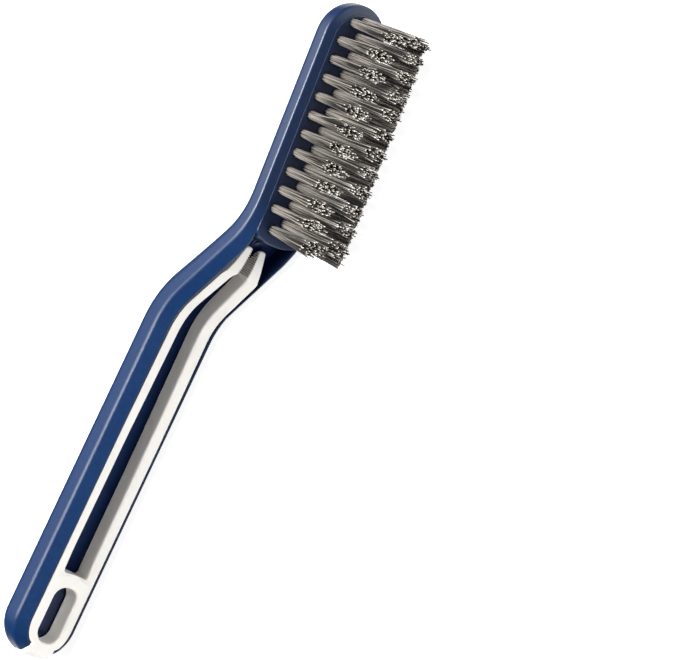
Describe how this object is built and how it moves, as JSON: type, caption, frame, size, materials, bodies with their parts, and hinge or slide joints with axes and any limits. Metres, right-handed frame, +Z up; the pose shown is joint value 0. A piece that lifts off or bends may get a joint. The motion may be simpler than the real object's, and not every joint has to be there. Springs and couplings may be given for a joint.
{
  "type": "crevice brush",
  "caption": "Narrow S-necked crevice brush whose trough handle holds a clip-in tweezer; angled tufts with a ridged trim stand on its slim head.",
  "frame": {"origin": "bottom centre of the bounding box of the brush as it lies on its right wall", "axes": "+X from the handle's end toward the head, -Y the way the bristles point, +Z up from the surface it lies on, which is the brush's width"},
  "size_m": [0.243, 0.0644, 0.0256],
  "materials": {
    "blue_plastic": "glossy moulded polypropylene, dark blue, with a soft satin sheen on the outer walls",
    "white_plastic": "satin moulded polypropylene, warm white",
    "grey_bristle": "stiff nylon filaments, warm grey with lighter cut ends"
  },
  "bodies": {
    "brush": {"brush_body": "blue_plastic", "tuft_left_01": "grey_bristle", "tuft_left_02": "grey_bristle", "tuft_left_03": "grey_bristle", "tuft_left_04": "grey_bristle", "tuft_left_05": "grey_bristle", "tuft_left_06": "grey_bristle", "tuft_left_07": "grey_bristle", "tuft_left_08": "grey_bristle", "tuft_left_09": "grey_bristle", "tuft_left_10": "grey_bristle", "tuft_left_11": "grey_bristle", "tuft_left_12": "grey_bristle", "tuft_centre_01": "grey_bristle", "tuft_centre_02": "grey_bristle", "tuft_centre_03": "grey_bristle", "tuft_centre_04": "grey_bristle", "tuft_centre_05": "grey_bristle", "tuft_centre_06": "grey_bristle", "tuft_centre_07": "grey_bristle", "tuft_centre_08": "grey_bristle", "tuft_centre_09": "grey_bristle", "tuft_centre_10": "grey_bristle", "tuft_centre_11": "grey_bristle", "tuft_centre_12": "grey_bristle", "tuft_right_01": "grey_bristle", "tuft_right_02": "grey_bristle", "tuft_right_03": "grey_bristle", "tuft_right_04": "grey_bristle", "tuft_right_05": "grey_bristle", "tuft_right_06": "grey_bristle", "tuft_right_07": "grey_bristle", "tuft_right_08": "grey_bristle", "tuft_right_09": "grey_bristle", "tuft_right_10": "grey_bristle", "tuft_right_11": "grey_bristle", "tuft_right_12": "grey_bristle"},
    "tweezer": {"tweezer_base": "white_plastic"},
    "arm_left": {"tweezer_arm_left": "white_plastic"},
    "arm_right": {"tweezer_arm_right": "white_plastic"}
  },
  "joints": [
    {"name": "tweezer_lift", "type": "slide", "parent": "brush", "child": "tweezer", "axis": [0, -1, 0], "range_m": [0, 0.035]},
    {"name": "arm_left_squeeze", "type": "hinge", "parent": "tweezer", "child": "arm_left", "pos_m": [-0.09025, 0.02323, 0.01955], "axis": [0, 1, 0], "range_deg": [0, 0.65], "stiffness_Nm_per_rad": 2},
    {"name": "arm_right_squeeze", "type": "hinge", "parent": "tweezer", "child": "arm_right", "pos_m": [-0.09025, 0.02323, 0.00605], "axis": [0, -1, 0], "range_deg": [0, 0.65], "stiffness_Nm_per_rad": 2}
  ],
  "couplings": [
    {"joint": "arm_right_squeeze", "follows": "arm_left_squeeze", "ratio": 1}
  ]
}
